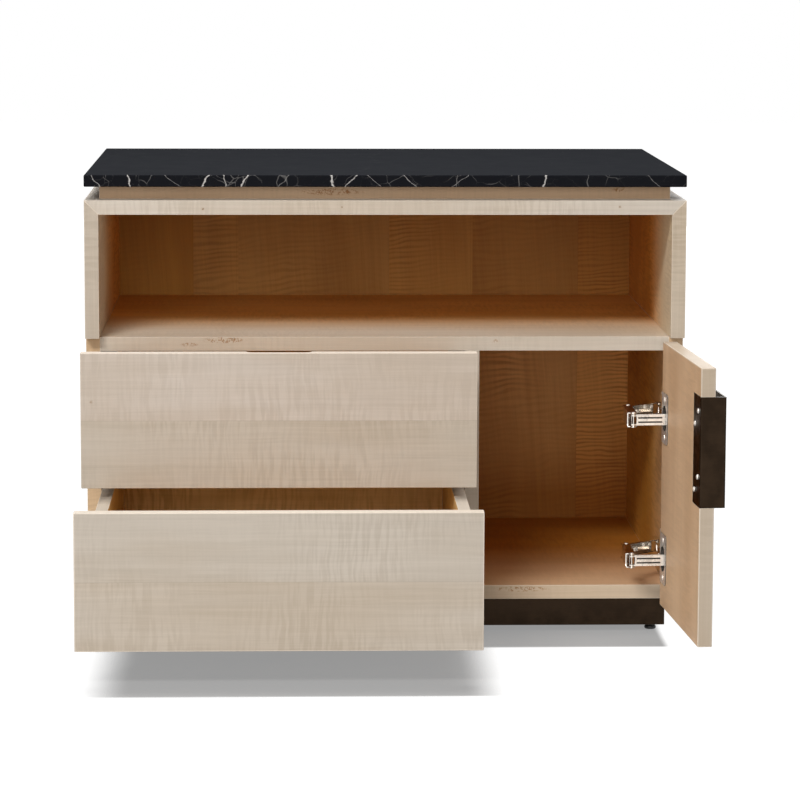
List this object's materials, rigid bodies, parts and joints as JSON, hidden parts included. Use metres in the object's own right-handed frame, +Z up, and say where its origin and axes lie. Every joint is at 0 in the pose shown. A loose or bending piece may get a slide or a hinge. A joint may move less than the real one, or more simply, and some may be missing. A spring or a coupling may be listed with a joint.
{
  "type": "nightstand",
  "caption": "Low maple nightstand with a stone top on a recessed riser, an open niche, two drawers and a cupboard whose door is hung on cup hinges, on a recessed plinth.",
  "frame": {"origin": "on the floor, under the middle of the whole outline with the drawers and the door as drawn", "axes": "+Z up, +Y to the back (the wall side), +X to the right as seen from the front"},
  "size_m": [0.7784, 0.831, 0.594],
  "materials": {
    "maple": "oiled, satin",
    "maple_inside": "oiled, satin",
    "marble": "polished",
    "bronze": "dark bronze, satin",
    "nickel": "bright nickel",
    "steel": "galvanised",
    "black_plastic": "matte"
  },
  "bodies": {
    "case": {"marble_top": "marble", "riser_front_rail": "maple", "riser_back_rail": "maple", "riser_left_rail": "maple", "riser_right_rail": "maple", "case_top_panel": "maple", "upper_side_left": "maple", "upper_side_right": "maple", "shelf_panel": "maple", "lower_side_left": "maple", "lower_side_right": "maple", "bottom_panel": "maple", "divider_panel": "maple", "back_panel": "maple_inside", "case_dowels": "maple_inside", "plinth_front_rail": "bronze", "plinth_back_rail": "bronze", "plinth_left_rail": "bronze", "plinth_right_rail": "bronze", "plinth_corner_blocks": "maple_inside", "foot_inserts": "steel", "upper_left_case_rail": "steel", "upper_right_case_rail": "steel", "lower_left_case_rail": "steel", "lower_right_case_rail": "steel", "upper_hinge_arm": "nickel", "lower_hinge_arm": "nickel"},
    "upper_drawer": {"upper_drawer_front": "maple", "upper_drawer_left_side": "maple_inside", "upper_drawer_right_side": "maple_inside", "upper_drawer_back": "maple_inside", "upper_drawer_bottom": "maple_inside", "upper_left_drawer_rail": "steel", "upper_right_drawer_rail": "steel"},
    "upper_middle_rails": {"upper_left_middle_rail": "steel", "upper_right_middle_rail": "steel"},
    "lower_drawer": {"lower_drawer_front": "maple", "lower_drawer_left_side": "maple_inside", "lower_drawer_right_side": "maple_inside", "lower_drawer_back": "maple_inside", "lower_drawer_bottom": "maple_inside", "lower_left_drawer_rail": "steel", "lower_right_drawer_rail": "steel"},
    "lower_middle_rails": {"lower_left_middle_rail": "steel", "lower_right_middle_rail": "steel"},
    "door": {"door_panel": "maple", "door_handle": "bronze", "handle_screws": "nickel", "upper_hinge_cup": "nickel", "upper_hinge_bar": "nickel", "lower_hinge_cup": "nickel", "lower_hinge_bar": "nickel"},
    "hinge_links": {"upper_hinge_link": "nickel", "lower_hinge_link": "nickel"},
    "hinge_rockers": {"upper_hinge_rocker": "nickel", "lower_hinge_rocker": "nickel"},
    "foot_front_left": {"foot_front_left": "black_plastic"},
    "foot_front_right": {"foot_front_right": "black_plastic"},
    "foot_back_left": {"foot_back_left": "black_plastic"},
    "foot_back_right": {"foot_back_right": "black_plastic"}
  },
  "joints": [
    {"name": "upper_drawer_slide", "type": "slide", "parent": "case", "child": "upper_drawer", "axis": [0, -1, 0], "range_m": [-0.126, 0.334]},
    {"name": "upper_middle_rails_slide", "type": "slide", "parent": "case", "child": "upper_middle_rails", "axis": [0, -1, 0], "range_m": [-0.063, 0.167]},
    {"name": "lower_drawer_slide", "type": "slide", "parent": "case", "child": "lower_drawer", "axis": [0, -1, 0], "range_m": [-0.291, 0.169]},
    {"name": "lower_middle_rails_slide", "type": "slide", "parent": "case", "child": "lower_middle_rails", "axis": [0, -1, 0], "range_m": [-0.1455, 0.0845]},
    {"name": "door_swing", "type": "hinge", "parent": "case", "child": "door", "pos_m": [0.36978, -0.1345, 0.0455], "axis": [0, 0, 1], "range_deg": [-93.5, 16.5]},
    {"name": "hinge_links_swing", "type": "hinge", "parent": "door", "child": "hinge_links", "pos_m": [0.30183, -0.17022, 0.109], "axis": [0, 0, 1], "range_deg": [-16.5, 93.5]},
    {"name": "hinge_rockers_swing", "type": "hinge", "parent": "case", "child": "hinge_rockers", "pos_m": [0.34578, -0.059, 0.109], "axis": [0, 0, 1], "range_deg": [-121.55, 21.45]},
    {"name": "foot_front_left_screw", "type": "slide", "parent": "case", "child": "foot_front_left", "axis": [0, 0, -1], "range_m": [0, 0.008]},
    {"name": "foot_front_right_screw", "type": "slide", "parent": "case", "child": "foot_front_right", "axis": [0, 0, -1], "range_m": [0, 0.008]},
    {"name": "foot_back_left_screw", "type": "slide", "parent": "case", "child": "foot_back_left", "axis": [0, 0, -1], "range_m": [0, 0.008]},
    {"name": "foot_back_right_screw", "type": "slide", "parent": "case", "child": "foot_back_right", "axis": [0, 0, -1], "range_m": [0, 0.008]}
  ],
  "couplings": [
    {"joint": "upper_middle_rails_slide", "follows": "upper_drawer_slide", "ratio": 0.5},
    {"joint": "lower_middle_rails_slide", "follows": "lower_drawer_slide", "ratio": 0.5},
    {"joint": "hinge_links_swing", "follows": "door_swing", "ratio": -1},
    {"joint": "hinge_rockers_swing", "follows": "door_swing", "ratio": 1.3}
  ]
}
